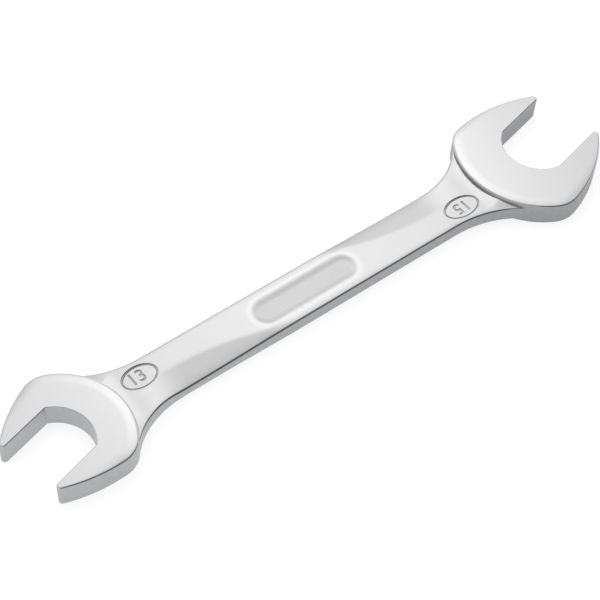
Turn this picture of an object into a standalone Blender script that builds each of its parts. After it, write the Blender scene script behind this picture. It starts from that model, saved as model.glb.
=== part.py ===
"""Double open end wrench: one drop forging with a 13 mm and a 15 mm jaw.

Metres, +Z up. The shank runs along X, with the small head at -X and the large head at +X.
Both jaws are turned from the shank the same way round, so the tool looks much alike after half a
turn. The faces above and below are alike.
The origin is under the middle of the tool's footprint, at the height that the heads lie on.
"""

import math
from typing import NamedTuple

import bmesh
import bpy
from mathutils import Matrix, Vector

# Both heads
HEAD_SPACING = 0.1131  # between the points where the jaws' centre lines cross the shank's
HEAD_THICKNESS = 0.0055
RIM_ROUND = 0.0005
RIM_SEGMENTS = 3
JAW_EDGE_BREAK = 0.0002
ROLL_WIDTH = 0.0016  # soft fall of each face towards the back of the head
ROLL_DROP = 0.0002
TIP_ROLL_SHARE = 0.06  # what is left of that fall at the prongs' tips
FACE_LAND = 0.00002  # least width between a rim and the flat of the face

# Small head
SMALL_HEAD_TURN = math.radians(15)
SMALL_JAW_WIDTH = 0.0130
SMALL_THROAT_RADIUS = 0.0083
SMALL_THROAT_DEPTH = 0.0008  # how far the throat passes the crossing of the centre lines
SMALL_BACK_REACH = 0.0091
SMALL_HEAD_WIDTH = 0.0266
SMALL_PRONG_REACH = 0.0139
SMALL_BACK_RADIUS = 0.0157
SMALL_SHOULDER_RADIUS = 0.0062
SMALL_FLANK_RADIUS = 0.0334
SMALL_TIP_RADIUS = 0.0008
SMALL_LEAN_FILLET = 0.0150  # neck fillet on the side that the head leans to
SMALL_OPEN_FILLET = 0.0160

# Large head
LARGE_HEAD_TURN = math.radians(13)
LARGE_JAW_WIDTH = 0.0150
LARGE_THROAT_RADIUS = 0.0079
LARGE_THROAT_DEPTH = 0.0005
LARGE_BACK_REACH = 0.0116
LARGE_HEAD_WIDTH = 0.0313
LARGE_PRONG_REACH = 0.0188
LARGE_BACK_RADIUS = 0.0185
LARGE_SHOULDER_RADIUS = 0.0069
LARGE_FLANK_RADIUS = 0.0339
LARGE_TIP_RADIUS = 0.0008
LARGE_LEAN_FILLET = 0.0150
LARGE_OPEN_FILLET = 0.0240

# Shank
SHANK_WIDTH = 0.0109
SHANK_THICKNESS = 0.0037
SHANK_WALL = 0.0030  # upright part of each side
SHANK_SHOULDER = 0.00025  # sloping width between a side and a broad face
FACET_WIDTH = 0.0050  # the shoulder on the lean side, where it is widest
FACET_DROP = 0.00065  # how far its outer edge lies below the face there
FACET_START = 0.0070  # from the middle of the pocket
FACET_PEAK_LEAD = 0.0050  # from its widest place to the start of the neck fillet
FACET_RUNOUT = 0.0080
FACET_EASE = 1.35
SHANK_STEP = 0.0015
WEB_COVER_SHARE = 0.85  # how much of the web behind a throat the shank may run into

# Pocket in each broad face, and the oval groove that frames each size mark
POCKET_OFFSET = -0.0022
POCKET_LENGTH = 0.0252
POCKET_WIDTH = 0.0058
POCKET_DEPTH = 0.0004
POCKET_WALL_RUN = 0.0006
OVAL_LENGTH = 0.0082
OVAL_WIDTH = 0.0055
OVAL_GROOVE = 0.0005
OVAL_DEPTH = 0.00025
SMALL_OVAL_DISTANCE = 0.0150  # from the crossing of the centre lines, along the shank
SMALL_OVAL_OFFSET = 0.0018  # from the middle of the shank, away from the lean
LARGE_OVAL_DISTANCE = 0.0183
LARGE_OVAL_OFFSET = 0.0021
OVAL_STEPS = 40

# How finely round stretches are drawn, and how far a cutter runs past a surface
ARC_SAG = 0.00002
OVERRUN = 0.0004
CREASE_ANGLE = math.radians(30)


class Head(NamedTuple):
    """One end of the tool. In the head's own frame the jaw opens towards +X."""

    name: str
    side: int
    turn: float
    jaw_width: float
    throat_radius: float
    throat_depth: float
    back_reach: float
    width: float
    prong_reach: float
    back_radius: float
    shoulder_radius: float
    flank_radius: float
    tip_radius: float
    lean_fillet: float
    open_fillet: float
    oval_distance: float
    oval_offset: float


SMALL_HEAD = Head(
    "small_head",
    -1,
    SMALL_HEAD_TURN,
    SMALL_JAW_WIDTH,
    SMALL_THROAT_RADIUS,
    SMALL_THROAT_DEPTH,
    SMALL_BACK_REACH,
    SMALL_HEAD_WIDTH,
    SMALL_PRONG_REACH,
    SMALL_BACK_RADIUS,
    SMALL_SHOULDER_RADIUS,
    SMALL_FLANK_RADIUS,
    SMALL_TIP_RADIUS,
    SMALL_LEAN_FILLET,
    SMALL_OPEN_FILLET,
    SMALL_OVAL_DISTANCE,
    SMALL_OVAL_OFFSET,
)
LARGE_HEAD = Head(
    "large_head",
    1,
    LARGE_HEAD_TURN,
    LARGE_JAW_WIDTH,
    LARGE_THROAT_RADIUS,
    LARGE_THROAT_DEPTH,
    LARGE_BACK_REACH,
    LARGE_HEAD_WIDTH,
    LARGE_PRONG_REACH,
    LARGE_BACK_RADIUS,
    LARGE_SHOULDER_RADIUS,
    LARGE_FLANK_RADIUS,
    LARGE_TIP_RADIUS,
    LARGE_LEAN_FILLET,
    LARGE_OPEN_FILLET,
    LARGE_OVAL_DISTANCE,
    LARGE_OVAL_OFFSET,
)


class Arc(NamedTuple):
    """A stretch of the outline, from one angle to another about its centre."""

    centre: Vector
    radius: float
    start: float
    end: float

    def steps(self):
        sag = min(ARC_SAG, self.radius / 2)
        widest = 2 * math.acos(1 - sag / self.radius)
        return max(2, math.ceil(abs(self.end - self.start) / widest))

    def points(self, inset_start, inset_end):
        """Points along the arc, drawn in by an inset that may change on the way."""
        found = []
        for step in range(self.steps() + 1):
            share = step / self.steps()
            angle = self.start + (self.end - self.start) * share
            inset = inset_start + (inset_end - inset_start) * share
            radius = self.radius - inset
            found.append(self.centre + Vector((math.cos(angle), math.sin(angle))) * radius)
        return found


def direction_angle(tail, tip):
    return math.atan2(tip.y - tail.y, tip.x - tail.x)


# Head outline

def shoulder_centre(head, side=1):
    """Centre of the shoulder, which touches the back arc from inside and reaches the head's width."""
    across = head.width / 2 - head.shoulder_radius
    between = head.back_radius - head.shoulder_radius
    along = math.sqrt(max(between**2 - across**2, 0))
    back_centre = head.back_radius - head.back_reach
    return Vector((back_centre - along, across * side))


def flank_centre(head, shoulder, tip):
    """Centre of the flank, which touches the shoulder and the tip from outside."""
    to_shoulder = head.flank_radius - head.shoulder_radius
    to_tip = head.flank_radius - head.tip_radius
    chord = tip - shoulder
    along = (to_shoulder**2 - to_tip**2 + chord.length_squared) / (2 * chord.length)
    across = math.sqrt(max(to_shoulder**2 - along**2, 0))
    ahead = chord.normalized()
    return shoulder + ahead * along + Vector((ahead.y, -ahead.x)) * across


def throat_arc(head):
    """The throat's upper half, from its deepest point to the corner at the jaw face."""
    centre = Vector((head.throat_radius - head.throat_depth, 0))
    half = head.jaw_width / 2
    corner = math.pi - math.asin(min(half / head.throat_radius, 1))
    return Arc(centre, head.throat_radius, math.pi, corner)


def outer_arcs(head):
    """The upper half's tip, flank, shoulder and back, in order, each touching the next."""
    tip = Vector((head.prong_reach - head.tip_radius, head.jaw_width / 2 + head.tip_radius))
    shoulder = shoulder_centre(head)
    flank = flank_centre(head, shoulder, tip)
    back = Vector((head.back_radius - head.back_reach, 0))
    tip_to_flank = direction_angle(flank, tip)
    flank_to_shoulder = direction_angle(flank, shoulder)
    shoulder_to_back = direction_angle(back, shoulder)
    return (
        Arc(tip, head.tip_radius, -math.pi / 2, tip_to_flank),
        Arc(flank, head.flank_radius, tip_to_flank, flank_to_shoulder),
        Arc(shoulder, head.shoulder_radius, flank_to_shoulder, shoulder_to_back),
        Arc(back, head.back_radius, shoulder_to_back, math.pi),
    )


def half_outline(head, outer_inset, jaw_inset, roll_inset=0):
    """The upper half, from the deepest point of the throat round to the back.

    roll_inset is added along the back and dies away along the flank.
    """
    tip, flank, shoulder, back = outer_arcs(head)
    tip_inset = outer_inset + roll_inset * TIP_ROLL_SHARE
    full_inset = outer_inset + roll_inset
    throat = throat_arc(head)
    points = throat.points(-jaw_inset, -jaw_inset)
    corner_y = head.jaw_width / 2 + jaw_inset
    corner_run = math.sqrt(max((throat.radius + jaw_inset) ** 2 - corner_y**2, 0))
    points[-1] = Vector((throat.centre.x - corner_run, corner_y))
    points += tip.points(jaw_inset, tip_inset)
    points += flank.points(tip_inset, full_inset)[1:]
    points += shoulder.points(full_inset, full_inset)[1:]
    points += back.points(full_inset, full_inset)[1:]
    return points


def whole_outline(half):
    """The half outline and its mirror image, as one closed run."""
    lower = [Vector((point.x, -point.y)) for point in reversed(half[1:-1])]
    return half + lower


def roll_shares(head):
    """How much of the face's fall each outline point gets: none at the jaw, all at the back."""
    tip, flank, shoulder, back = outer_arcs(head)
    shares = [0.0] * (throat_arc(head).steps() + 1)
    shares += [TIP_ROLL_SHARE * step / tip.steps() for step in range(tip.steps() + 1)]
    rise = 1 - TIP_ROLL_SHARE
    shares += [TIP_ROLL_SHARE + rise * step / flank.steps() for step in range(1, flank.steps() + 1)]
    shares += [1.0] * (shoulder.steps() + back.steps())
    return shares + list(reversed(shares[1:-1]))


def head_placement(head):
    """Turns the head's own frame into the tool's."""
    turn = head.turn if head.side > 0 else head.turn + math.pi
    return Matrix.Translation((head.side * HEAD_SPACING / 2, 0, 0)) @ Matrix.Rotation(turn, 4, "Z")


def footprint_middle():
    """Middle of the box round both heads' outlines, in the tool's frame."""
    points = []
    for head in (SMALL_HEAD, LARGE_HEAD):
        placement = head_placement(head)
        outline = whole_outline(half_outline(head, 0, 0))
        points += [placement @ point.to_3d() for point in outline]
    spread_x = [point.x for point in points]
    spread_y = [point.y for point in points]
    return Vector(((min(spread_x) + max(spread_x)) / 2, (min(spread_y) + max(spread_y)) / 2, 0))


def to_part_frame():
    """Moves the tool's frame so that the heads lie at zero height, over the origin."""
    return Matrix.Translation(Vector((0, 0, HEAD_THICKNESS / 2)) - footprint_middle())


# Meshes

def skin(mesh, rings, closed):
    """Faces between rings of as many points each, and caps on the two end rings unless closed."""
    rows = [[mesh.verts.new(point) for point in ring] for ring in rings]
    pairs = list(zip(rows, rows[1:]))
    if closed:
        pairs.append((rows[-1], rows[0]))
    for lower, upper in pairs:
        for index in range(len(lower)):
            following = (index + 1) % len(lower)
            mesh.faces.new((lower[index], lower[following], upper[following], upper[index]))
    if not closed:
        mesh.faces.new(list(reversed(rows[0])))
        mesh.faces.new(rows[-1])


def new_object(name, rings, closed=False):
    """An object whose rings are given in the tool's frame."""
    mesh = bmesh.new()
    placement = to_part_frame()
    skin(mesh, [[placement @ point for point in ring] for ring in rings], closed)
    bmesh.ops.recalc_face_normals(mesh, faces=mesh.faces)
    data = bpy.data.meshes.new(name)
    mesh.to_mesh(data)
    mesh.free()
    data.shade_smooth()
    data.set_sharp_from_angle(angle=CREASE_ANGLE)
    made = bpy.data.objects.new(name, data)
    bpy.context.scene.collection.objects.link(made)
    return made


def as_helper(made):
    made.hide_render = True
    made.display_type = "WIRE"
    return made


# Heads

def upper_layers(head):
    """Layers of the head's upper half: the wall's top, the rounded rim, then the flat face."""
    top = HEAD_THICKNESS / 2
    shares = roll_shares(head)
    layers = []
    for step in range(RIM_SEGMENTS + 1):
        angle = math.pi / 2 * step / RIM_SEGMENTS
        outer_inset = RIM_ROUND * (1 - math.cos(angle))
        drop = RIM_ROUND * (1 - math.sin(angle))
        jaw_share = step / RIM_SEGMENTS
        half = half_outline(head, outer_inset, JAW_EDGE_BREAK * jaw_share)
        heights = [
            top - rim_drop(share, drop, JAW_EDGE_BREAK * (1 - jaw_share)) for share in shares
        ]
        layers.append(list(zip(whole_outline(half), heights)))
    jaw_inset = JAW_EDGE_BREAK + FACE_LAND
    face = whole_outline(half_outline(head, RIM_ROUND + FACE_LAND, jaw_inset, ROLL_WIDTH))
    layers.append([(point, top) for point in face])
    return layers


def rim_drop(share, rim, jaw):
    """How far below the face a rim point lies, from the jaw's small break to the rolled back."""
    if share == 0:
        return jaw
    return rim + ROLL_DROP * share


def head_rings(head):
    placement = head_placement(head)
    upper = upper_layers(head)
    lower = [[(point, -height) for point, height in layer] for layer in reversed(upper)]
    rings = []
    for layer in lower + upper:
        rings.append([placement @ Vector((point.x, point.y, height)) for point, height in layer])
    return rings


# Shank

class Fillet(NamedTuple):
    """A neck fillet: where it leaves the shank's side, its radius and how far along X it runs."""

    start: float
    radius: float
    run: float


def neck_fillet(head, lean):
    """The fillet that touches the shank's side and then the head's shoulder."""
    radius = head.lean_fillet if lean else head.open_fillet
    side = head.side if lean else -head.side
    shoulder = head_placement(head) @ shoulder_centre(head, 1 if lean else -1).to_3d()
    centre_y = side * (SHANK_WIDTH / 2 + radius)
    reach = radius + head.shoulder_radius
    along = math.sqrt(max(reach**2 - (centre_y - shoulder.y) ** 2, 0))
    return Fillet(shoulder.x - head.side * along, radius, along * radius / reach)


def side_at(x, side):
    """The shank's half width at x, on the side given by the sign of side."""
    head = LARGE_HEAD if x > 0 else SMALL_HEAD
    fillet = neck_fillet(head, lean=side == head.side)
    past = min(max((x - fillet.start) * head.side, 0), fillet.run)
    return SHANK_WIDTH / 2 + fillet.radius - math.sqrt(fillet.radius**2 - past**2)


def facet_share(x, side):
    """How far the shoulder at x has grown into the long facet, which lies on the lean side."""
    head = LARGE_HEAD if x > POCKET_OFFSET else SMALL_HEAD
    if side != head.side:
        return 0
    start = POCKET_OFFSET + head.side * FACET_START
    peak = neck_fillet(head, lean=True).start - head.side * FACET_PEAK_LEAD
    rising = (x - start) / (peak - start)
    fading = (x - peak) * head.side / FACET_RUNOUT
    if rising <= 0 or fading >= 1:
        return 0
    if rising < 1:
        return 1 - (1 - rising) ** FACET_EASE
    return (1 + math.cos(math.pi * fading)) / 2


def wall_and_ridge(x, side):
    """The top of the upright side at x, and the ridge where its shoulder meets the broad face."""
    face = SHANK_THICKNESS / 2
    plain_drop = face - SHANK_WALL / 2
    share = facet_share(x, side)
    width = SHANK_SHOULDER + (FACET_WIDTH - SHANK_SHOULDER) * share
    drop = plain_drop + (FACET_DROP - plain_drop) * share
    half = side_at(x, side)
    return (side * half, face - drop), (side * (half - width), face)


def shank_stations():
    """Places along X for the shank's sections, from inside one head to inside the other."""
    ends = []
    for head in (SMALL_HEAD, LARGE_HEAD):
        fillet = neck_fillet(head, lean=False)
        touch = abs(fillet.start) + fillet.run
        back = HEAD_SPACING / 2 - head.back_reach
        web = head.back_reach - head.throat_depth
        ends.append(head.side * min(touch, back + web * WEB_COVER_SHARE))
    count = math.ceil((ends[1] - ends[0]) / SHANK_STEP)
    return [ends[0] + (ends[1] - ends[0]) * step / count for step in range(count + 1)]


def shank_section(x):
    """An eight-sided section: upright sides, two shoulders above and two below, flat faces."""
    near_wall, near_ridge = wall_and_ridge(x, -1)
    far_wall, far_ridge = wall_and_ridge(x, 1)
    upper = [near_wall, near_ridge, far_ridge, far_wall]
    lower = [(y, -z) for y, z in reversed(upper)]
    return [Vector((x, y, z)) for y, z in lower + upper]


# Cuts

def stadium(length, width, wider):
    """A round-ended outline about the origin, made wider all round."""
    radius = width / 2
    reach = length / 2 - radius
    right = Arc(Vector((reach, 0)), radius, -math.pi / 2, math.pi / 2)
    left = Arc(Vector((-reach, 0)), radius, math.pi / 2, math.pi * 3 / 2)
    return right.points(-wider, -wider) + left.points(-wider, -wider)


def pocket_rings(face_side):
    """The pocket's cutter, from its floor out past the broad face, widening as its wall leans."""
    face = SHANK_THICKNESS / 2
    grow = OVERRUN * POCKET_WALL_RUN / POCKET_DEPTH
    layers = ((-POCKET_WALL_RUN, face - POCKET_DEPTH), (grow, face + OVERRUN))
    rings = []
    for wider, height in layers:
        outline = stadium(POCKET_LENGTH, POCKET_WIDTH, wider)
        rings.append([Vector((p.x + POCKET_OFFSET, p.y, height * face_side)) for p in outline])
    return rings


def oval_rings(head, face_side):
    """A groove's cutter: a wedge-shaped section carried round an ellipse."""
    face = SHANK_THICKNESS / 2
    centre_x = head.side * (HEAD_SPACING / 2 - head.oval_distance)
    centre_y = -head.side * head.oval_offset
    widen = 1 + OVERRUN / OVAL_DEPTH
    profile = (
        (0, face - OVAL_DEPTH),
        (OVAL_GROOVE / 2 * widen, face + OVERRUN),
        (-OVAL_GROOVE / 2 * widen, face + OVERRUN),
    )
    along = (OVAL_LENGTH - OVAL_GROOVE) / 2
    across = (OVAL_WIDTH - OVAL_GROOVE) / 2
    rings = []
    for step in range(OVAL_STEPS):
        angle = 2 * math.pi * step / OVAL_STEPS
        middle = Vector((along * math.cos(angle), across * math.sin(angle)))
        outward = Vector((math.cos(angle) / along, math.sin(angle) / across)).normalized()
        ring = []
        for out, height in profile:
            point = middle + outward * out
            ring.append(Vector((centre_x + point.x, centre_y + point.y, height * face_side)))
        rings.append(ring)
    return rings


# Finish and assembly

def chrome():
    """Polished chrome plate over forged steel."""
    made = bpy.data.materials.new("chrome_plate")
    made.use_nodes = True
    shader = made.node_tree.nodes["Principled BSDF"]
    shader.inputs["Base Color"].default_value = (0.80, 0.81, 0.82, 1)
    shader.inputs["Metallic"].default_value = 1
    shader.inputs["Roughness"].default_value = 0.22
    return made


def combine(body, helper, operation):
    change = body.modifiers.new(helper.name, "BOOLEAN")
    change.operation = operation
    change.solver = "EXACT"
    change.object = helper


def main():
    for old in list(bpy.data.objects):
        bpy.data.objects.remove(old)
    wrench = new_object("wrench_forging", [shank_section(x) for x in shank_stations()])
    wrench.data.materials.append(chrome())
    for head in (SMALL_HEAD, LARGE_HEAD):
        combine(wrench, as_helper(new_object(head.name, head_rings(head))), "UNION")
    for face_side, face_name in ((1, "top"), (-1, "bottom")):
        pocket = as_helper(new_object(f"pocket_{face_name}", pocket_rings(face_side)))
        combine(wrench, pocket, "DIFFERENCE")
        for head in (SMALL_HEAD, LARGE_HEAD):
            rings = oval_rings(head, face_side)
            groove = as_helper(new_object(f"{head.name}_oval_{face_name}", rings, closed=True))
            combine(wrench, groove, "DIFFERENCE")


main()
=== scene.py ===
"""Double open end wrench: the forging with its marks and finish, and a plain studio round it.

Metres, +Z up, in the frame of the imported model. The shank runs along X, with the small head at -X
and the large head at +X. Shapes are worked out in the tool's own frame, whose origin is midway
between the points where each jaw's centre line crosses the shank's, and are placed at the end.
"""

import math
from typing import NamedTuple

import bmesh
import bpy
from bpy.props import FloatProperty, FloatVectorProperty, PointerProperty, StringProperty
from bpy.types import Operator, Panel, PropertyGroup
from mathutils import Matrix, Vector


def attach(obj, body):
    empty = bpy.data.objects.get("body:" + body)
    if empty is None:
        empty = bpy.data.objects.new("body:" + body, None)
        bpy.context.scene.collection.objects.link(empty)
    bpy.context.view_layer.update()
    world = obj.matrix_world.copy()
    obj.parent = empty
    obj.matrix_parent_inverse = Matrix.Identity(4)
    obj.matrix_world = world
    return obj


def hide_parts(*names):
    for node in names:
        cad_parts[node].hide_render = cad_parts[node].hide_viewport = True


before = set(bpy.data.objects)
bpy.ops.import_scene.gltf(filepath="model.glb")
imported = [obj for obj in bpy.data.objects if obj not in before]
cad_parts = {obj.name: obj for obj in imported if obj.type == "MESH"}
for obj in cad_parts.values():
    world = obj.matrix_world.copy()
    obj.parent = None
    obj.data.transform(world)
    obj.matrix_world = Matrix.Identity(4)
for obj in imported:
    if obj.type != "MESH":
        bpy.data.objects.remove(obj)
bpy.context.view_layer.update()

bl_info = {
    "name": "Double Open End Wrench",
    "version": (1, 0, 0),
    "blender": (4, 5, 0),
    "location": "View3D > Sidebar > Wrench",
    "description": "Makes a chrome plated double open end wrench and a studio for it",
    "category": "Add Mesh",
}

MILLIMETRE = 0.001

# How finely round stretches are drawn
ARC_SAG = 0.005 * MILLIMETRE
RIM_STEPS = 4
ROLL_STEPS = 8
CORNER_STEPS = 6
SHANK_STEP = 0.6 * MILLIMETRE
OVAL_STEPS = 72
OVAL_SECTION_STEPS = 14
DIGIT_STEPS = 6

# Small amounts that keep points and surfaces apart, make cuts run clean through a face or merge
# double points
LAND = 0.004 * MILLIMETRE
OUTLINE_INSET = 0.01 * MILLIMETRE
POCKET_CLEARANCE = LAND * 5
OVERRUN = 0.4 * MILLIMETRE
MERGE_DISTANCE = 0.001 * MILLIMETRE

# How much of the web behind a throat the shank may run into
WEB_COVER_SHARE = 0.85

# The least width of a long fall beside the brow, and the most of a leg that a rounding takes up
LEAST_FALL = 0.7 * MILLIMETRE
ROUNDED_SHARE = 0.96

# Radius of the disc that each loft starts from, before its first ring is placed
DISC_RADIUS = 10 * MILLIMETRE

CREASE_ANGLE = math.radians(32)


# Sizes and colours


def length(name, description, default):
    """A length, whose default is given in millimetres."""
    return FloatProperty(
        name=name,
        description=description,
        default=default * MILLIMETRE,
        precision=5,
        subtype="DISTANCE",
        unit="LENGTH",
    )


def angle(name, description, default):
    """An angle, whose default is given in degrees."""
    return FloatProperty(
        name=name,
        description=description,
        default=math.radians(default),
        subtype="ANGLE",
        unit="ROTATION",
    )


def share(name, description, default):
    """A share, from 0 to 1."""
    return FloatProperty(
        name=name, description=description, default=default, min=0, max=1, subtype="FACTOR"
    )


def colour(name, description, default):
    """A colour without alpha."""
    return FloatVectorProperty(
        name=name, description=description, default=default, size=3, min=0, max=1, subtype="COLOR"
    )


class SmallHeadSizes(PropertyGroup):
    """The head at -X."""

    side = -1
    turn: angle("Turn", "How far the jaw is turned from the shank", 15)
    jaw_width: length("Jaw width", "Across the two flat jaw faces", 13.0)
    throat_radius: length("Throat radius", "Radius of the bottom of the jaw", 8.3)
    throat_depth: length("Throat depth", "How far the throat passes the crossing point", 0.8)
    back_reach: length("Back reach", "From the crossing point to the back of the head", 9.1)
    width: length("Head width", "Across the head", 26.6)
    prong_reach: length("Prong reach", "From the crossing point to the prongs' tips", 13.9)
    back_radius: length("Back radius", "Radius of the back of the head", 15.7)
    shoulder_radius: length("Shoulder radius", "Radius of the widest part of the head", 6.2)
    flank_radius: length("Flank radius", "Radius of the prongs' outer sides", 33.4)
    tip_radius: length("Tip radius", "Radius of the prongs' blunt tips", 0.8)
    lean_fillet: length("Lean fillet", "Neck fillet on the side that the head leans to", 17.5)
    open_fillet: length("Open fillet", "Neck fillet on the other side", 24.0)
    oval_distance: length("Oval distance", "From the crossing point to the size mark", 15.0)
    oval_offset: length("Oval offset", "From the shank's middle to the size mark", 1.8)
    oval_length: length("Oval length", "Outside length of the oval", 8.0)
    mark_offset: length("Mark offset", "From the oval's middle towards the jaw", 0.6)
    mark: StringProperty(name="Size mark", description="Jaw size in millimetres", default="13")


class LargeHeadSizes(PropertyGroup):
    """The head at +X."""

    side = 1
    turn: angle("Turn", "How far the jaw is turned from the shank", 13)
    jaw_width: length("Jaw width", "Across the two flat jaw faces", 15.0)
    throat_radius: length("Throat radius", "Radius of the bottom of the jaw", 7.9)
    throat_depth: length("Throat depth", "How far the throat passes the crossing point", 0.5)
    back_reach: length("Back reach", "From the crossing point to the back of the head", 11.6)
    width: length("Head width", "Across the head", 31.3)
    prong_reach: length("Prong reach", "From the crossing point to the prongs' tips", 18.8)
    back_radius: length("Back radius", "Radius of the back of the head", 18.5)
    shoulder_radius: length("Shoulder radius", "Radius of the widest part of the head", 6.9)
    flank_radius: length("Flank radius", "Radius of the prongs' outer sides", 33.9)
    tip_radius: length("Tip radius", "Radius of the prongs' blunt tips", 0.8)
    lean_fillet: length("Lean fillet", "Neck fillet on the side that the head leans to", 17.5)
    open_fillet: length("Open fillet", "Neck fillet on the other side", 27.0)
    oval_distance: length("Oval distance", "From the crossing point to the size mark", 18.3)
    oval_offset: length("Oval offset", "From the shank's middle to the size mark", 2.1)
    oval_length: length("Oval length", "Outside length of the oval", 8.8)
    mark_offset: length("Mark offset", "From the oval's middle towards the jaw", 0.0)
    mark: StringProperty(name="Size mark", description="Jaw size in millimetres", default="15")


class HeadEdgeSizes(PropertyGroup):
    """What both heads share."""

    spacing: length("Spacing", "Between the crossing points of the two heads", 113.1)
    thickness: length("Thickness", "Thickness of both heads", 5.5)
    rim_round: length("Rim rounding", "Rounding of the outer edges", 0.36)
    jaw_edge: length("Jaw edge rounding", "Rounding of the jaw's edges", 0.2)
    roll_width: length("Roll width", "Width of each face's soft fall towards the back", 2.1)
    roll_drop: length("Roll drop", "Depth of that fall", 0.12)
    tip_roll: share("Roll at the tips", "What is left of that fall at the tips", 0.08)


class ShankSizes(PropertyGroup):
    """The shank between the heads."""

    width: length("Width", "Across the shank", 11.5)
    thickness: length("Thickness", "Between the broad faces", 3.3)
    edge_round: length("Edge rounding", "Rounding between a side and a broad face", 0.55)
    brow_width: length("Brow width", "Width of the soft fall inside that rounding", 1.4)
    brow_drop: length("Brow drop", "Depth of that fall", 0.05)
    neck_rise: length("Neck rise", "How much higher the middle of each neck ends", 0.8)
    neck_lean: share("Neck lean", "Share of that rise on the side that a head leans to", 0.6)
    neck_brow: length("Neck brow", "Width of the fall from there to each side", 6.0)
    neck_run: length("Neck run", "Length along the shank in which a neck rises", 7.5)
    neck_edge: length("Neck edge rounding", "What the edge rounding shrinks to there", 0.15)
    facet_width: length("Facet width", "Widest part of the long facet", 5.8)
    facet_drop: length("Facet drop", "How far it falls outwards at its widest", 0.55)
    facet_start: length("Facet start", "From the pocket's middle", 7.0)
    facet_peak_lead: length("Facet peak", "From the widest place to the neck fillet", 3.0)
    facet_runout: length("Facet runout", "How far the facet takes to fade out", 9.5)
    facet_ease: FloatProperty(
        name="Facet ease", description="How soon the facet widens", default=1.8, min=1
    )
    ridge_round: length("Ridge rounding", "Softening along the facets' upper edges", 0.6)


class MarkSizes(PropertyGroup):
    """The sunk pocket and the size marks."""

    pocket_offset: length("Pocket offset", "From the middle between the heads", -2.2)
    pocket_length: length("Pocket length", "Length of the pocket's mouth", 25.2)
    pocket_width: length("Pocket width", "Width of the pocket's mouth", 5.8)
    pocket_depth: length("Pocket depth", "Depth of the pocket's floor", 0.2)
    oval_width: length("Oval width", "Outside width of each oval", 5.5)
    oval_groove: length("Oval groove", "Width of its round groove", 0.55)
    oval_rise: length("Oval rise", "How much shallower the groove is on its -Y side", 0.2)
    digit_size: length("Digit size", "Type size of the numbers", 4.0)
    digit_depth: length("Digit depth", "Depth of the numbers", 0.15)


class FinishSettings(PropertyGroup):
    """Chrome plate over forged steel."""

    face_colour: colour("Face colour", "Plate on the ground heads", (0.925, 0.925, 0.925))
    # Darker than the heads' faces partly for the forged plate and partly as painted shade
    forged_and_shaded_shank_colour: colour("Shank colour", "Plate on the forged shank", (0.8, 0.8, 0.8))
    # The sides are darker than the faces partly for their duller tumbled plate and partly as
    # painted shade
    tumbled_and_shaded_wall_colour: colour("Side colour", "Plate on the tumbled sides", (0.4, 0.404, 0.414))
    # Darker than the faces as painted shade in the grooves and numbers
    recess_shade_colour: colour("Recess colour", "Plate in grooves and numbers", (0.66, 0.665, 0.675))
    face_roughness: share("Face roughness", "Roughness of the broad faces", 0.2)
    wall_roughness: share("Side roughness", "Roughness of the sides", 0.38)


class StageSettings(PropertyGroup):
    """Floor, backdrop and lamps."""

    floor_colour: colour("Floor colour", "Colour of the floor and backdrop", (0.3, 0.3, 0.3))
    floor_glow: FloatProperty(
        name="Floor glow", description="What lifts the floor to white", default=0.75, min=0
    )
    mirror_left: FloatProperty(
        name="Glow at -X", description="Factor on it in reflections, at -X", default=1.15, min=0
    )
    mirror_right: FloatProperty(
        name="Glow at +X", description="Factor on it in reflections, at +X", default=0.7, min=0
    )
    fill_level: FloatProperty(
        name="Fill level", description="Strength of the overhead fill", default=2.3, min=0
    )
    panel_radiance: FloatProperty(
        name="Panel level", description="Brightness of the soft panel", default=0.1, min=0
    )
    sky_high: FloatProperty(
        name="Bright sky", description="Brightness behind the object", default=1.05, min=0
    )
    sky_side: FloatProperty(
        name="Plain sky", description="Brightness of the rest of the sky", default=0.4, min=0
    )
    sky_low: FloatProperty(
        name="Dark sky", description="Brightness in front of the object", default=0.1, min=0
    )


class WrenchSettings(PropertyGroup):
    """All that the sidebar panel lists."""

    small_head: PointerProperty(type=SmallHeadSizes)
    large_head: PointerProperty(type=LargeHeadSizes)
    heads: PointerProperty(type=HeadEdgeSizes)
    shank: PointerProperty(type=ShankSizes)
    marks: PointerProperty(type=MarkSizes)
    finish: PointerProperty(type=FinishSettings)
    stage: PointerProperty(type=StageSettings)


# Modelling helpers


def deselect_all():
    bpy.ops.object.select_all(action="DESELECT")


def make_active(piece):
    deselect_all()
    piece.select_set(True)
    bpy.context.view_layer.objects.active = piece


def place_cap(piece, ring):
    """Moves the corners of the selected face to the ring's points."""
    mesh = bmesh.from_edit_mesh(piece.data)
    cap = next(face for face in mesh.faces if face.select)
    for loop, point in zip(cap.loops, ring):
        loop.vert.co = point
    bmesh.update_edit_mesh(piece.data)


def loft(name, rings):
    """A closed solid drawn out of a flat disc, with one extrusion for each further ring."""
    deselect_all()
    bpy.ops.mesh.primitive_circle_add(
        vertices=len(rings[0]), radius=DISC_RADIUS, fill_type="NGON"
    )
    piece = bpy.context.object
    piece.name = piece.data.name = name
    bpy.ops.object.mode_set(mode="EDIT")
    place_cap(piece, rings[0])
    for ring in rings[1:]:
        bpy.ops.mesh.extrude_region()
        place_cap(piece, ring)
    tidy_in_edit_mode()
    bpy.ops.object.mode_set(mode="OBJECT")
    return piece


def tidy_in_edit_mode():
    bpy.ops.mesh.select_all(action="SELECT")
    bpy.ops.mesh.remove_doubles(threshold=MERGE_DISTANCE)
    bpy.ops.mesh.normals_make_consistent(inside=False)


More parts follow.
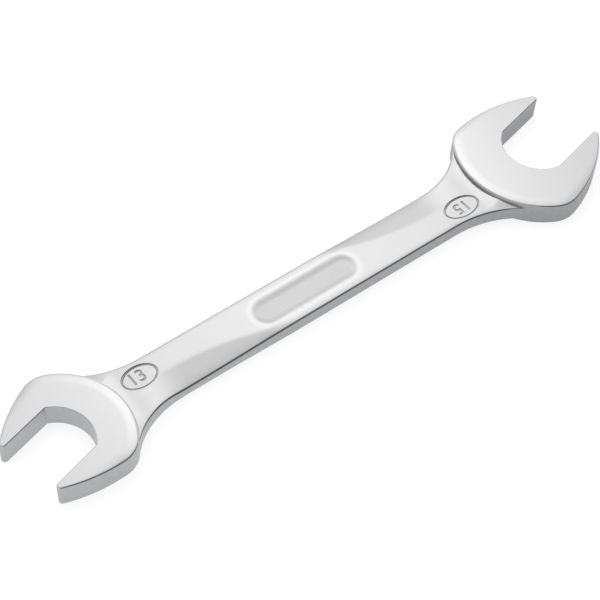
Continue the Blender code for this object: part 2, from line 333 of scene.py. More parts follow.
def combine(body, helper, operation):
    """Adds or cuts one solid, and deletes it."""
    make_active(body)
    bpy.ops.object.modifier_add(type="BOOLEAN")
    change = body.modifiers[-1]
    change.operation = operation
    change.solver = "EXACT"
    change.material_mode = "TRANSFER"
    change.object = helper
    bpy.ops.object.modifier_apply(modifier=change.name)
    if not body.data.polygons:
        raise RuntimeError(f"The {operation.lower()} with {helper.name} left nothing")
    bpy.data.objects.remove(helper)


def join(pieces):
    make_active(pieces[0])
    for piece in pieces:
        piece.select_set(True)
    bpy.ops.object.join()
    return bpy.context.object


# Head outline


class Arc(NamedTuple):
    """A stretch of the outline, from one angle to another about its centre."""

    centre: Vector
    radius: float
    start: float
    end: float

    def angles(self):
        """The start of each step and the end, with the share of the arc that each has passed."""
        widest = 2 * math.acos(1 - min(ARC_SAG, self.radius / 2) / self.radius)
        count = max(2, math.ceil(abs(self.end - self.start) / widest))
        for step in range(count + 1):
            passed = step / count
            yield self.start + (self.end - self.start) * passed, passed


class Spot(NamedTuple):
    """A point of a head's outline, the way into the metal, its rim and its part of the roll."""

    point: Vector
    inward: Vector
    rim: float
    roll: float


def unit(angle):
    return Vector((math.cos(angle), math.sin(angle)))


def direction_angle(tail, tip):
    return math.atan2(tip.y - tail.y, tip.x - tail.x)


def smooth_step(value):
    value = min(max(value, 0), 1)
    return value * value * (3 - 2 * value)


def shoulder_centre(head, side=1):
    """Centre of the shoulder, which touches the back arc from inside and reaches the width."""
    across = head.width / 2 - head.shoulder_radius
    between = head.back_radius - head.shoulder_radius
    along = math.sqrt(max(between**2 - across**2, 0))
    return Vector((head.back_radius - head.back_reach - along, across * side))


def flank_centre(head, shoulder, tip):
    """Centre of the flank, which touches the shoulder and the tip from outside."""
    to_shoulder = head.flank_radius - head.shoulder_radius
    to_tip = head.flank_radius - head.tip_radius
    chord = tip - shoulder
    along = (to_shoulder**2 - to_tip**2 + chord.length_squared) / (2 * chord.length)
    across = math.sqrt(max(to_shoulder**2 - along**2, 0))
    ahead = chord.normalized()
    return shoulder + ahead * along + Vector((ahead.y, -ahead.x)) * across


def throat_spots(head, heads):
    """From the throat's deepest point to its corner at the jaw face."""
    centre = Vector((head.throat_radius - head.throat_depth, 0))
    half = head.jaw_width / 2
    corner = math.pi - math.asin(min(half / head.throat_radius, 1))
    arc = Arc(centre, head.throat_radius, math.pi, corner)
    spots = []
    for angle, _passed in arc.angles():
        outward = unit(angle)
        spots.append(Spot(centre + outward * arc.radius, outward, heads.jaw_edge, 0))
    # The corner moves in by the same amount from the throat and from the jaw face
    mitre = Vector(((1 - math.sin(corner)) / math.cos(corner), 1))
    spots[-1] = Spot(spots[-1].point, mitre, heads.jaw_edge, 0)
    return spots


def outer_spots(head, heads):
    """Round the tip, along the flank and shoulder, to the middle of the back."""
    tip = Vector((head.prong_reach - head.tip_radius, head.jaw_width / 2 + head.tip_radius))
    shoulder = shoulder_centre(head)
    flank = flank_centre(head, shoulder, tip)
    back = Vector((head.back_radius - head.back_reach, 0))
    tip_end = direction_angle(flank, tip)
    flank_end = direction_angle(flank, shoulder)
    shoulder_end = direction_angle(back, shoulder)
    full = (heads.rim_round, 1)
    stretches = (
        (Arc(tip, head.tip_radius, -math.pi / 2, tip_end), (heads.jaw_edge, 0)),
        (Arc(flank, head.flank_radius, tip_end, flank_end), (heads.rim_round, heads.tip_roll)),
        (Arc(shoulder, head.shoulder_radius, flank_end, shoulder_end), full),
        (Arc(back, head.back_radius, shoulder_end, math.pi), full),
    )
    ends = [start for _arc, start in stretches[1:]] + [full]
    spots = []
    for (arc, start), end in zip(stretches, ends):
        steps = list(arc.angles())
        if spots:
            steps = steps[1:]
        for angle, passed in steps:
            eased = smooth_step(passed)
            rim = start[0] + (end[0] - start[0]) * eased
            roll = start[1] + (end[1] - start[1]) * eased
            spots.append(Spot(arc.centre + unit(angle) * arc.radius, -unit(angle), rim, roll))
    return spots


def head_spots(head, heads):
    """The whole outline: the upper half and its mirror image."""
    upper = throat_spots(head, heads) + outer_spots(head, heads)
    lower = []
    for spot in reversed(upper[1:-1]):
        point = Vector((spot.point.x, -spot.point.y))
        inward = Vector((spot.inward.x, -spot.inward.y))
        lower.append(Spot(point, inward, spot.rim, spot.roll))
    return upper + lower


def head_layers(head, heads):
    """Rings of the head's upper half: up the rounded rim, then over the roll to the flat."""
    top = heads.thickness / 2
    spots = head_spots(head, heads)
    layers = [[] for _ in range(RIM_STEPS + 1 + ROLL_STEPS)]
    for spot in spots:
        start = spot.point + spot.inward * OUTLINE_INSET
        drop = heads.roll_drop * spot.roll**2
        width = heads.roll_width * spot.roll
        # The roll falls as a parabola, which meets the rim at this slope
        tilt = math.atan2(2 * drop, width) if width else 0
        rim_middle = top - drop - spot.rim * math.cos(tilt)
        for step in range(RIM_STEPS + 1):
            angle = (math.pi / 2 - tilt) * step / RIM_STEPS
            inset = spot.rim * (1 - math.cos(angle))
            height = rim_middle + spot.rim * math.sin(angle)
            layers[step].append((start + spot.inward * inset, height))
        for step in range(1, ROLL_STEPS + 1):
            passed = step / ROLL_STEPS
            inset = spot.rim * (1 - math.sin(tilt)) + width * passed + LAND * step
            height = top - drop * (1 - passed) ** 2
            layers[RIM_STEPS + step].append((start + spot.inward * inset, height))
    return layers


def head_placement(head, heads):
    """Turns the head's own frame into the tool's."""
    turn = head.turn if head.side > 0 else head.turn + math.pi
    crossing = Matrix.Translation((head.side * heads.spacing / 2, 0, 0))
    return crossing @ Matrix.Rotation(turn, 4, "Z")


def add_head(head, heads):
    placement = head_placement(head, heads)
    upper = head_layers(head, heads)
    lower = [[(point, -height) for point, height in layer] for layer in reversed(upper)]
    rings = []
    for layer in lower + upper:
        rings.append([placement @ Vector((point.x, point.y, height)) for point, height in layer])
    return loft("head", rings)


def footprint_middle(sizes):
    """Middle of the box round both heads' outlines."""
    points = []
    for head in (sizes.small_head, sizes.large_head):
        placement = head_placement(head, sizes.heads)
        points += [placement @ spot.point.to_3d() for spot in head_spots(head, sizes.heads)]
    spread_x = [point.x for point in points]
    spread_y = [point.y for point in points]
    return Vector(((min(spread_x) + max(spread_x)) / 2, (min(spread_y) + max(spread_y)) / 2, 0))


# Shank


class Fillet(NamedTuple):
    """A neck fillet: where it leaves the shank's side, its radius and how far along X it runs."""

    start: float
    radius: float
    run: float


class Shank:
    """Works out the shank's sections from the sizes."""

    def __init__(self, sizes):
        self.heads = sizes.heads
        self.shank = sizes.shank
        self.marks = sizes.marks
        self.small_head = sizes.small_head
        self.large_head = sizes.large_head
        self.fillets = {}
        for head in (self.small_head, self.large_head):
            self.fillets[head.side, True] = self.neck_fillet(head, lean=True)
            self.fillets[head.side, False] = self.neck_fillet(head, lean=False)

    def neck_fillet(self, head, lean):
        """The fillet that touches the shank's side and then the head's shoulder."""
        radius = head.lean_fillet if lean else head.open_fillet
        side = head.side if lean else -head.side
        centre = shoulder_centre(head, 1 if lean else -1).to_3d()
        shoulder = head_placement(head, self.heads) @ centre
        centre_y = side * (self.shank.width / 2 + radius)
        reach = radius + head.shoulder_radius
        along = math.sqrt(max(reach**2 - (centre_y - shoulder.y) ** 2, 0))
        return Fillet(shoulder.x - head.side * along, radius, along * radius / reach)

    def side_at(self, x, side):
        """Half width at x, on the side given by the sign of side."""
        head = self.large_head if x > 0 else self.small_head
        fillet = self.fillets[head.side, side == head.side]
        past = min(max((x - fillet.start) * head.side, 0), fillet.run)
        return self.shank.width / 2 + fillet.radius - math.sqrt(fillet.radius**2 - past**2)

    def facet_at(self, x, side):
        """Width of the long facet on the side a head leans to, and how far it falls outward."""
        head = self.large_head if x > self.marks.pocket_offset else self.small_head
        if side != head.side:
            return 0, 0
        start = self.marks.pocket_offset + head.side * self.shank.facet_start
        peak = self.fillets[head.side, True].start - head.side * self.shank.facet_peak_lead
        rising = min((x - start) / (peak - start), 1)
        fading = min(max((x - peak) * head.side / self.shank.facet_runout, 0), 1)
        if rising <= 0:
            return 0, 0
        grown = 1 - (1 - rising) ** self.shank.facet_ease
        drop = self.shank.facet_drop * grown * (1 - smooth_step(fading))
        return self.shank.facet_width * grown, drop

    def neck_share(self, x):
        """How far the neck has risen at x, from nothing beside the size mark to all of it."""
        head = self.large_head if x > 0 else self.small_head
        start = self.heads.spacing / 2 - head.oval_distance + head.oval_length / 2
        return smooth_step((abs(x) - start) / self.shank.neck_run)

    def stations(self):
        """Places along X for the sections, from inside one head to inside the other."""
        ends = []
        for head in (self.small_head, self.large_head):
            fillet = self.fillets[head.side, False]
            touch = abs(fillet.start) + fillet.run
            back = self.heads.spacing / 2 - head.back_reach
            web = head.back_reach - head.throat_depth
            ends.append(head.side * min(touch, back + web * WEB_COVER_SHARE))
        count = math.ceil((ends[1] - ends[0]) / SHANK_STEP)
        return [ends[0] + (ends[1] - ends[0]) * step / count for step in range(count + 1)]

    def edge(self, x, side):
        """One upper edge of the section, from the side over the slope to the broad face."""
        sizes = self.shank
        face = sizes.thickness / 2
        width, drop = self.facet_at(x, side)
        outer = self.side_at(x, side)
        risen = self.neck_share(x)
        edge = sizes.edge_round
        edge += (sizes.neck_edge - edge) * risen
        brow_width = sizes.brow_width
        brow_width += (sizes.neck_brow - brow_width) * risen
        width = max(width, brow_width + LEAST_FALL)
        corner = Vector((outer * side, face - drop - sizes.brow_drop))
        head = self.large_head if x > 0 else self.small_head
        face += sizes.neck_rise * risen * (sizes.neck_lean if side == head.side else 1)
        brow = Vector(((outer - brow_width) * side, face - drop * (1 - brow_width / width)))
        ridge = Vector(((outer - width) * side, face))
        inward = Vector((-side, 0))
        bend = (brow - corner).normalized()
        fall = (ridge - brow).normalized()
        bend_reach = (brow - corner).length - edge
        fall_reach = (ridge - brow).length / 2
        points = rounded(corner, Vector((0, -1)), bend, edge)
        points += rounded(brow, -bend, fall, min(bend_reach, fall_reach) * ROUNDED_SHARE)
        ridge_round = min(sizes.ridge_round, fall_reach * ROUNDED_SHARE)
        points += rounded(ridge, -fall, inward, ridge_round)
        return points

    def section(self, x):
        near = self.edge(x, -1)
        far = list(reversed(self.edge(x, 1)))
        upper = near + far
        lower = [Vector((point.x, -point.y)) for point in reversed(upper)]
        return [Vector((x, point.x, point.y)) for point in lower + upper]


def rounded(corner, back, ahead, reach):
    """Points on a smooth bend that leaves one leg of a corner and joins the other."""
    start = corner + back * reach
    end = corner + ahead * reach
    points = []
    for step in range(CORNER_STEPS + 1):
        passed = step / CORNER_STEPS
        points.append(start.lerp(corner, passed).lerp(corner.lerp(end, passed), passed))
    return points


def add_shank(sizes):
    shank = Shank(sizes)
    return loft("shank", [shank.section(x) for x in shank.stations()])


# Pocket and size marks

# The pocket's profile: how far outside its mouth's edge, and the share of its depth
POCKET_PROFILE = (
    (-1.5 * MILLIMETRE, 1.0),
    (-1.25 * MILLIMETRE, 0.98),
    (-1.0 * MILLIMETRE, 0.90),
    (-0.7 * MILLIMETRE, 0.74),
    (-0.4 * MILLIMETRE, 0.54),
    (-0.1 * MILLIMETRE, 0.33),
    (0.2 * MILLIMETRE, 0.15),
    (0.5 * MILLIMETRE, 0.04),
)


def stadium(length_along, width, wider):
    """A round-ended outline about the origin, made wider all round."""
    radius = width / 2
    reach = length_along / 2 - radius
    points = []
    for side in (1, -1):
        turn = 0 if side > 0 else math.pi
        arc = Arc(Vector((reach * side, 0)), radius, turn - math.pi / 2, turn + math.pi / 2)
        points += [arc.centre + unit(angle) * (radius + wider) for angle, _passed in arc.angles()]
    return points


def add_pocket_cutter(sizes, up):
    """Cuts the sunk pocket out of the upper or lower broad face."""
    marks = sizes.marks
    face = sizes.shank.thickness / 2
    outer_offset, outer_depth = POCKET_PROFILE[-1]
    inner_offset, inner_depth = POCKET_PROFILE[-2]
    slope = (inner_depth - outer_depth) * marks.pocket_depth / (outer_offset - inner_offset)
    rings = []
    layers = [(offset, -marks.pocket_depth * depth) for offset, depth in POCKET_PROFILE]
    rest = (outer_depth * marks.pocket_depth + POCKET_CLEARANCE) / slope
    layers.append((outer_offset + rest, POCKET_CLEARANCE))
    layers.append((layers[-1][0], OVERRUN))
    for wider, height in layers:
        outline = stadium(marks.pocket_length, marks.pocket_width, wider)
        rings.append(
            [Vector((p.x + marks.pocket_offset, p.y, (face + height) * up)) for p in outline]
        )
    return loft("pocket", rings)


# How far each groove's floor is set towards its outer side, for each unit of depth
OVAL_LEAN = 0.45


def oval_middle(head, heads):
    x = head.side * (heads.spacing / 2 - head.oval_distance)
    return Vector((x, -head.side * head.oval_offset, 0))


def add_oval_cutter(head, sizes, up):
    """A ring of round section, bent from a circle into an oval and let half into the face."""
    marks = sizes.marks
    start_radius = head.oval_length
    groove = marks.oval_groove / 2
    deselect_all()
    bpy.ops.mesh.primitive_torus_add(
        major_segments=OVAL_STEPS,
        minor_segments=OVAL_SECTION_STEPS,
        major_radius=start_radius,
        minor_radius=groove,
    )
    ring = bpy.context.object
    middle = oval_middle(head, sizes.heads) + Vector((0, 0, sizes.shank.thickness / 2 * up))
    along = head.oval_length / 2 - groove
    across = marks.oval_width / 2 - groove
    for vertex in ring.data.vertices:
        angle = math.atan2(vertex.co.y, vertex.co.x)
        out = math.hypot(vertex.co.x, vertex.co.y) - start_radius
        out -= OVAL_LEAN * vertex.co.z * up
        path = Vector((along * math.cos(angle), across * math.sin(angle)))
        outward = Vector((math.cos(angle) / along, math.sin(angle) / across)).normalized()
        point = path + outward * out
        rise = marks.oval_rise * (1 - math.sin(angle)) / 2
        vertex.co = middle + Vector((point.x, point.y, vertex.co.z + rise * up))
    return ring


def add_number_cutter(head, sizes, up):
    """The size mark, with sides that slope in towards its floor. It reads along the shank."""
    marks = sizes.marks
    deselect_all()
    bpy.ops.object.text_add()
    number = bpy.context.object
    number.data.body = head.mark
    number.data.size = marks.digit_size
    number.data.align_x = "CENTER"
    number.data.align_y = "CENTER"
    number.data.bevel_depth = marks.digit_depth
    number.data.bevel_resolution = 1
    number.data.offset = -marks.digit_depth / 2
    number.data.resolution_u = DIGIT_STEPS
    bpy.ops.object.convert(target="MESH")
    number = bpy.context.object
    bpy.ops.object.mode_set(mode="EDIT")
    tidy_in_edit_mode()
    bpy.ops.object.mode_set(mode="OBJECT")
    turn = 0 if head.side < 0 else math.pi
    offset = Vector((head.side * head.mark_offset, 0, 0))
    face = Matrix.Translation(oval_middle(head, sizes.heads) + offset)
    flip = Matrix.Identity(4) if up > 0 else Matrix.Rotation(math.pi, 4, "X")
    lift = Matrix.Translation((0, 0, sizes.shank.thickness / 2))
    number.data.transform(face @ flip @ lift @ Matrix.Rotation(turn, 4, "Z"))
    return number


# Shader helpers

# The Mix node's sockets: its factor, its two colours and the colour between them
MIX_PART, MIX_FIRST, MIX_SECOND, MIX_RESULT = 0, 6, 7, 2


class Term:
    """An output of a node, on which sums are written as plain expressions."""

    def __init__(self, shader, socket):
        self.shader = shader
        self.socket = socket

    def __add__(self, other):
        return self.shader.maths("ADD", self, other)

    def __sub__(self, other):
        return self.shader.maths("SUBTRACT", self, other)

    def __rsub__(self, other):
        return self.shader.maths("SUBTRACT", other, self)

    def __mul__(self, other):
        return self.shader.maths("MULTIPLY", self, other)

    def __abs__(self):
        return self.shader.maths("ABSOLUTE", self)

    __radd__ = __add__
    __rmul__ = __mul__


class Shader:
    """Adds nodes to one node tree."""

    def __init__(self, tree):
        self.tree = tree

    def node(self, kind, settings=None, inputs=None):
        """One node of a kind, with its settings and then the values or links of its sockets."""
        made = self.tree.nodes.new(kind)
        for name, value in (settings or {}).items():
            setattr(made, name, value)
        for key, value in (inputs or {}).items():
            if isinstance(value, Term):
                self.tree.links.new(value.socket, made.inputs[key])
            else:
                made.inputs[key].default_value = value
        return made

    def term(self, node, output=0):
        return Term(self, node.outputs[output])

    def maths(self, operation, *values):
        settings = {"operation": operation}
        return self.term(self.node("ShaderNodeMath", settings, dict(enumerate(values))))

    def smooth_range(self, value, low, high):
        """0 below low, 1 above high and an easy rise between them."""
        settings = {"interpolation_type": "SMOOTHSTEP"}
        inputs = {"Value": value, "From Min": low, "From Max": high}
        return self.term(self.node("ShaderNodeMapRange", settings, inputs))

    def dot(self, vector, direction):
        """How far a vector goes in a direction."""
        inputs = {0: vector, 1: tuple(direction)}
        made = self.node("ShaderNodeVectorMath", {"operation": "DOT_PRODUCT"}, inputs)
        return self.term(made, "Value")

    def mix(self, part, first, second):
        """A colour between two colours."""
        settings = {"data_type": "RGBA"}
        inputs = {MIX_PART: part, MIX_FIRST: first, MIX_SECOND: second}
        return self.term(self.node("ShaderNodeMix", settings, inputs), MIX_RESULT)

    def tones(self, part, base, levels):
        """A colour that varies between a darker and a lighter form of itself."""
        darkest, lightest = levels
        return self.mix(part, four(base, darkest), four(base, lightest))

    def split(self, vector):
        """The three parts of a vector."""
        parts = self.node("ShaderNodeSeparateXYZ", None, {0: vector})
        return [self.term(parts, axis) for axis in range(3)]

    def noise(self, where, waves, detail=2.0, stretch=(1, 1, 1)):
        """Soft noise about one half, with so many waves a metre."""
        mapped = self.node("ShaderNodeMapping", None, {"Vector": where, "Scale": stretch})
        inputs = {"Vector": self.term(mapped), "Scale": waves, "Detail": detail}
        return self.term(self.node("ShaderNodeTexNoise", None, inputs))

    def bump(self, height):
        inputs = {"Height": height, "Distance": BUMP_HEIGHT}
        return self.term(self.node("ShaderNodeBump", None, inputs))


def new_material(name):
    made = bpy.data.materials.new(name)
    made.use_nodes = True
    made.node_tree.nodes.clear()
    return made, Shader(made.node_tree)


def finish_material(shader, inputs):
    surface = shader.node("ShaderNodeBsdfPrincipled", None, inputs)
    shader.node("ShaderNodeOutputMaterial", None, {"Surface": shader.term(surface)})


def four(colour_values, level):
    """A colour and its alpha, with the colour made lighter or darker by a factor."""
    return (*[min(value * level, 1) for value in colour_values], 1)


# How steeply a normal points up or down where a side turns into a broad face, and that into a flat
BROAD_FROM, BROAD_TO = 0.5, 0.8
FLAT_FROM, FLAT_TO = 0.9, 0.985

# How far above the shank's faces the plate of the ground heads begins and is full. Below it the
# shank's faces are darker, partly for their forged plate and partly as painted shade
GROUND_FROM = 0.06 * MILLIMETRE
GROUND_TO = 0.3 * MILLIMETRE

# Where the painted highlight round the pocket's mouth rises and fades, and its dull floor ends,
# counted outwards from the edge of its mouth
HIGHLIGHT_RISES = (-0.3 * MILLIMETRE, 0.5 * MILLIMETRE)
HIGHLIGHT_FADES = (0.7 * MILLIMETRE, 1.9 * MILLIMETRE)
SUNK_ENDS = (-1.5 * MILLIMETRE, 0)

# Factors on the colours, from the darkest to the lightest place
FACE_TONES = (0.985, 1.01)
SHANK_TONES = (0.975, 1.025)
WALL_TONES = (0.86, 1.14)
RECESS_TONES = (0.85, 1.15)
# The rounded rim round the pocket's mouth is painted lighter: a painted highlight
HIGHLIGHT_TONE = 1.1
SUNK_TONE = 0.94

# Roughness of the polished bends, and what clouds, strokes and the pocket's floor add to it
BEND_ROUGHNESS = 0.12
CLOUD_ROUGHNESS = 0.05
STROKE_ROUGHNESS = 0.03
SUNK_ROUGHNESS = 0.08

# Roughness of the recesses where it is least, and how much mottle changes each finish
RECESS_ROUGHNESS = 0.25
RECESS_ROUGHNESS_CHANGE = 0.1
WALL_ROUGHNESS_CHANGE = 0.12

# Depth of the finest relief, and the parts that orange peel and buffing strokes have in it
BUMP_HEIGHT = 0.006 * MILLIMETRE
PEEL_PART = 0.25
STROKE_PART = 0.1
STROKE_STRETCH = (0.06, 1, 1)

# How fine each pattern is, in waves a metre
CLOUD_WAVES = 90
MOTTLE_WAVES = 900
PEEL_WAVES = 1500
STROKE_WAVES = 4000
RECESS_WAVES = 1800


def pocket_highlight_and_floor(shader, at_x, at_y, marks):
    """Two masks: the painted highlight round the pocket's mouth, and its sunk floor."""
    radius = marks.pocket_width / 2
    reach = marks.pocket_length / 2 - radius
    past_x = shader.maths("MAXIMUM", abs(at_x - marks.pocket_offset) - reach, 0)
    from_pocket = shader.maths("SQRT", past_x * past_x + at_y * at_y)
    rising, fading, ending = [
        shader.smooth_range(from_pocket, radius + low, radius + high)
        for low, high in (HIGHLIGHT_RISES, HIGHLIGHT_FADES, SUNK_ENDS)
    ]
    return rising * (1 - fading), 1 - ending


def chrome_plate(sizes):
    """Buffed chrome on the broad faces, and the duller plate of the tumbled sides. The sides and
    the shank's faces are also painted darker as shade, and a painted highlight rings the pocket's
    mouth.
    """
    finish = sizes.finish
    material, shader = new_material("chrome_plate")
    place = shader.node("ShaderNodeTexCoord")
    where = shader.term(place, "Object")
    at_x, at_y, at_z = shader.split(where)
    steepness = abs(shader.split(shader.term(place, "Normal"))[2])
    # Where the normal turns from up or down to the side, the colour goes over to the sides' darker
    # one, which is partly painted shade
    broad = shader.smooth_range(steepness, BROAD_FROM, BROAD_TO)
    flat = shader.smooth_range(steepness, FLAT_FROM, FLAT_TO)
    height = abs(at_z - sizes.heads.thickness / 2)
    face = sizes.shank.thickness / 2
    ground = shader.smooth_range(height, face + GROUND_FROM, face + GROUND_TO)
    origin = footprint_middle(sizes)
    lip_highlight, sunk = pocket_highlight_and_floor(shader, at_x + origin.x, at_y + origin.y, sizes.marks)

    clouds = shader.noise(where, CLOUD_WAVES)
    mottle = shader.noise(where, MOTTLE_WAVES, detail=3)
    peel = shader.noise(where, PEEL_WAVES)
    strokes = shader.noise(where, STROKE_WAVES, detail=1, stretch=STROKE_STRETCH)
    head_faces = shader.tones(clouds, finish.face_colour, FACE_TONES)
    # The shank's faces: darker than the heads' partly as painted shade, with a painted highlight
    # round the pocket's mouth
    forged = shader.tones(clouds, finish.forged_and_shaded_shank_colour, SHANK_TONES)
    forged = shader.mix(lip_highlight, forged, four(finish.forged_and_shaded_shank_colour, HIGHLIGHT_TONE))
    forged = shader.mix(sunk, forged, four(finish.forged_and_shaded_shank_colour, SUNK_TONE))
    faces = shader.mix(ground, forged, head_faces)
    walls = shader.tones(mottle, finish.tumbled_and_shaded_wall_colour, WALL_TONES)
    face_rough = flat * (finish.face_roughness - BEND_ROUGHNESS) + BEND_ROUGHNESS
    face_rough += (clouds - 0.5) * CLOUD_ROUGHNESS + (strokes - 0.5) * STROKE_ROUGHNESS
    face_rough += sunk * SUNK_ROUGHNESS
    wall_rough = (mottle - 0.5) * WALL_ROUGHNESS_CHANGE + finish.wall_roughness
    relief = broad * (peel * PEEL_PART + strokes * STROKE_PART) + (1 - broad) * mottle
    inputs = {
        "Base Color": shader.mix(broad, walls, faces),
        "Roughness": broad * face_rough + (1 - broad) * wall_rough,
        "Metallic": 1,
        "Normal": shader.bump(relief),
    }
    finish_material(shader, inputs)
    return material


def shaded_recess_plate(finish):
    """The plate in grooves and numbers: rougher than the faces, and painted darker as shade in the
    recesses.
    """
    material, shader = new_material("shaded_recess_plate")
    where = shader.term(shader.node("ShaderNodeTexCoord"), "Object")
    mottle = shader.noise(where, RECESS_WAVES, detail=3)
    inputs = {
        "Base Color": shader.tones(mottle, finish.recess_shade_colour, RECESS_TONES),
        "Roughness": mottle * RECESS_ROUGHNESS_CHANGE + RECESS_ROUGHNESS,
        "Metallic": 1,
        "Normal": shader.bump(mottle),
    }
    finish_material(shader, inputs)
    return material


# Stage

FLOOR_RADIUS = 3.0
FLOOR_SIDES = 96
FLOOR_WAVES = 300
FLOOR_TONES = (0.995, 1.005)
BACKDROP_HEIGHT = 1.1

# The backdrop catches less light than the floor, so above this height it glows white by itself
UPRIGHT_HEIGHT = 0.01

# How far to each side the glow seen in reflections goes on changing
GLOW_REACH = 0.09

# Where the photograph was taken from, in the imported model's frame, its lens and sensor in
# millimetres, and how near and how far the camera sees
CAMERA_PLACE = (-0.137901, -0.153056, 0.261199)
CAMERA_TURN = tuple(math.radians(degrees) for degrees in (37.83489, -2.30791, -37.83383))
CAMERA_LENS = 96.7376
CAMERA_SENSOR = 36
CAMERA_NEAR = 0.01
CAMERA_FAR = 20

# Where the broad faces look, by reflection, from that camera
FACE_LOOK = Vector((0.397, 0.492, 0.776))

# The point half way up the heads that the lamps aim at
TOOL_MIDDLE = Vector((0, 0, 0.00275))

# The overhead fill's place and how widely its light spreads
FILL_PLACE = Vector((0.05, 0.1, 1.0))
FILL_SPREAD = math.radians(100)

# The soft panel behind the object: its middle, the way its long side runs, and its two sides
PANEL_PLACE = Vector((0.121, 0.137, 0.227))
PANEL_ALONG = Vector((0.916, -0.2, -0.349))
PANEL_SIDES = (0.16, 0.07)


def add_camera():
    bpy.ops.object.camera_add(location=CAMERA_PLACE, rotation=CAMERA_TURN)
    camera = bpy.context.object
    camera.data.lens = CAMERA_LENS
    camera.data.sensor_width = CAMERA_SENSOR
    camera.data.clip_start = CAMERA_NEAR
    camera.data.clip_end = CAMERA_FAR
    bpy.context.scene.camera = camera


def add_floor(stage):
    """A round floor with a wall round it, so that every view ends in the same pale colour."""
    deselect_all()
    bpy.ops.mesh.primitive_circle_add(
        vertices=FLOOR_SIDES, radius=FLOOR_RADIUS, fill_type="NGON"
    )
    floor = bpy.context.object
    floor.name = "studio_floor"
    bpy.ops.object.mode_set(mode="EDIT")
    bpy.ops.mesh.select_all(action="SELECT")
    bpy.ops.mesh.select_mode(type="EDGE")
    bpy.ops.mesh.region_to_loop()
    bpy.ops.mesh.extrude_edges_move(TRANSFORM_OT_translate={"value": (0, 0, BACKDROP_HEIGHT)})
    bpy.ops.object.mode_set(mode="OBJECT")
    material, shader = new_material("studio_paper")
    where = shader.term(shader.node("ShaderNodeTexCoord"), "Object")
    at_x, _at_y, at_z = shader.split(where)
    paper = shader.tones(shader.noise(where, FLOOR_WAVES), stage.floor_colour, FLOOR_TONES)
    path = shader.node("ShaderNodeLightPath")
    mirrored = shader.term(path, "Is Glossy Ray") + shader.term(path, "Is Transmission Ray")
    across = shader.smooth_range(at_x, -GLOW_REACH, GLOW_REACH)
    slope = across * (stage.mirror_right - stage.mirror_left) + stage.mirror_left
    seen = shader.term(path, "Is Camera Ray") + mirrored * slope
    upright = shader.smooth_range(at_z, 0, UPRIGHT_HEIGHT)
    glow_level = seen * (upright * (1 - stage.floor_glow) + stage.floor_glow)
    matt = shader.node("ShaderNodeBsdfDiffuse", None, {"Color": paper})
    inputs = {"Color": (1, 1, 1, 1), "Strength": glow_level}
    glow = shader.node("ShaderNodeEmission", None, inputs)
    both = shader.node("ShaderNodeAddShader", None, {0: shader.term(matt), 1: shader.term(glow)})
    shader.node("ShaderNodeOutputMaterial", None, {"Surface": shader.term(both)})
    floor.data.materials.append(material)


def add_lamp(kind, name, place, target):
    bpy.ops.object.light_add(type=kind, location=place)
    lamp = bpy.context.object
    lamp.name = name
    lamp.rotation_euler = (place - target).to_track_quat("Z", "Y").to_euler()
    lamp.visible_camera = False
    return lamp


def add_lamps(stage):
    fill = add_lamp("SUN", "overhead_fill", FILL_PLACE, TOOL_MIDDLE)
    fill.data.energy = stage.fill_level
    fill.data.angle = FILL_SPREAD
    fill.visible_glossy = False
    panel = add_lamp("AREA", "back_panel", PANEL_PLACE, TOOL_MIDDLE)
    across = FACE_LOOK.cross(PANEL_ALONG)
    panel.rotation_euler = Matrix((PANEL_ALONG, across, FACE_LOOK)).transposed().to_euler()
    panel.data.shape = "RECTANGLE"
    panel.data.size, panel.data.size_y = PANEL_SIDES
    panel.data.energy = stage.panel_radiance * math.pi * math.prod(PANEL_SIDES)


# How fast the sky's brightness falls away from where the broad faces look
SKY_FALL = 20

# The direction along which the bright part dims further towards both ends, its middle there, how
# far from that the dimming begins and is full, and how much of the light it takes
SKY_ALONG = Vector((0.882, 0, -0.471))
ENDS_MIDDLE = -0.02
ENDS_FROM = 0.08
ENDS_TO = 0.3
ENDS_LOSS = 0.3

# The middle of the sky's dark patch, and the cosines at which the dark begins and is full
DARK_LOOK = Vector((0.417, -0.65, 0.635))
DARK_FROM = 0.6
DARK_TO = 0.85


def add_sky(stage):
    """Brightest where the broad faces look, and dark in front, so that rounded rims read dark."""
    world = bpy.data.worlds.new("studio_sky")
    world.use_nodes = True
    world.node_tree.nodes.clear()
    shader = Shader(world.node_tree)
    where = shader.term(shader.node("ShaderNodeTexCoord"), "Generated")
    toward = shader.maths("MAXIMUM", shader.dot(where, FACE_LOOK), 0)
    along = abs(shader.dot(where, SKY_ALONG) - ENDS_MIDDLE)
    ends = shader.smooth_range(along, ENDS_FROM, ENDS_TO)
    bright = shader.maths("POWER", toward, SKY_FALL) * (1 - ends * ENDS_LOSS)
    dark = shader.smooth_range(shader.dot(where, DARK_LOOK), DARK_FROM, DARK_TO)
    rest = dark * (stage.sky_low - stage.sky_side) + stage.sky_side
    inputs = {"Color": (1, 1, 1, 1), "Strength": bright * (stage.sky_high - rest) + rest}
    background = shader.node("ShaderNodeBackground", None, inputs)
    shader.node("ShaderNodeOutputWorld", None, {"Surface": shader.term(background)})
    bpy.context.scene.world = world


# Operators


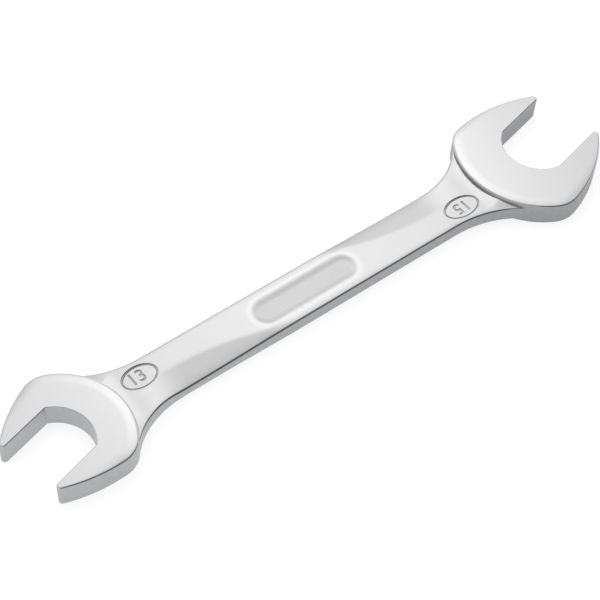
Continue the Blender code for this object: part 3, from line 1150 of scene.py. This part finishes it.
class AddWrenchForging(Operator):
    """Make the shank and both heads as one forging, with its pockets and size marks"""

    bl_idname = "object.add_wrench_forging"
    bl_label = "Wrench Forging"
    bl_options = {"REGISTER", "UNDO"}

    def execute(self, context):
        sizes = context.scene.wrench
        heads = (sizes.small_head, sizes.large_head)
        body = add_shank(sizes)
        body.name = body.data.name = "forging"
        body.data.materials.append(chrome_plate(sizes))
        for head in heads:
            combine(body, add_head(head, sizes.heads), "UNION")
        combine(body, join([add_pocket_cutter(sizes, up) for up in (1, -1)]), "DIFFERENCE")
        recess = shaded_recess_plate(sizes.finish)
        for add_cutter in (add_oval_cutter, add_number_cutter):
            marks = join([add_cutter(head, sizes, up) for head in heads for up in (1, -1)])
            marks.data.materials.clear()
            marks.data.materials.append(recess)
            combine(body, marks, "DIFFERENCE")
        self.finish(body, sizes)
        return {"FINISHED"}

    def finish(self, body, sizes):
        lift = Vector((0, 0, sizes.heads.thickness / 2))
        body.data.transform(Matrix.Translation(lift - footprint_middle(sizes)))
        make_active(body)
        bpy.ops.object.mode_set(mode="EDIT")
        tidy_in_edit_mode()
        bpy.ops.object.mode_set(mode="OBJECT")
        bpy.ops.object.shade_smooth_by_angle(angle=CREASE_ANGLE)
        bpy.ops.object.modifier_add(type="WEIGHTED_NORMAL")
        weighting = body.modifiers[-1]
        weighting.keep_sharp = True
        bpy.ops.object.modifier_apply(modifier=weighting.name)
        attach(body, "root")
        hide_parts("wrench_forging")


class AddWrenchStage(Operator):
    """Make the floor, lamps, sky and camera"""

    bl_idname = "object.add_wrench_stage"
    bl_label = "Studio"
    bl_options = {"REGISTER", "UNDO"}

    def execute(self, context):
        stage = context.scene.wrench.stage
        add_floor(stage)
        add_lamps(stage)
        add_sky(stage)
        add_camera()
        context.scene.view_settings.view_transform = "Standard"
        return {"FINISHED"}


class WrenchPanel(Panel):
    """Lists the steps and the settings"""

    bl_idname = "VIEW3D_PT_wrench"
    bl_label = "Open End Wrench"
    bl_space_type = "VIEW_3D"
    bl_region_type = "UI"
    bl_category = "Wrench"

    def draw(self, context):
        for step in STEPS:
            self.layout.operator(step.bl_idname)
        settings = context.scene.wrench
        for group_name in settings.__annotations__:
            box = self.layout.box()
            box.label(text=group_name.replace("_", " ").capitalize())
            group = getattr(settings, group_name)
            for name in type(group).__annotations__:
                box.prop(group, name)


STEPS = (AddWrenchForging, AddWrenchStage)
CLASSES = (
    SmallHeadSizes,
    LargeHeadSizes,
    HeadEdgeSizes,
    ShankSizes,
    MarkSizes,
    FinishSettings,
    StageSettings,
    WrenchSettings,
    *STEPS,
    WrenchPanel,
)


def register():
    for kind in CLASSES:
        bpy.utils.register_class(kind)
    bpy.types.Scene.wrench = PointerProperty(type=WrenchSettings)


def unregister():
    del bpy.types.Scene.wrench
    for kind in reversed(CLASSES):
        bpy.utils.unregister_class(kind)


def main():
    register()
    bpy.ops.object.add_wrench_forging()
    bpy.ops.object.add_wrench_stage()


if __name__ == "__main__":
    main()
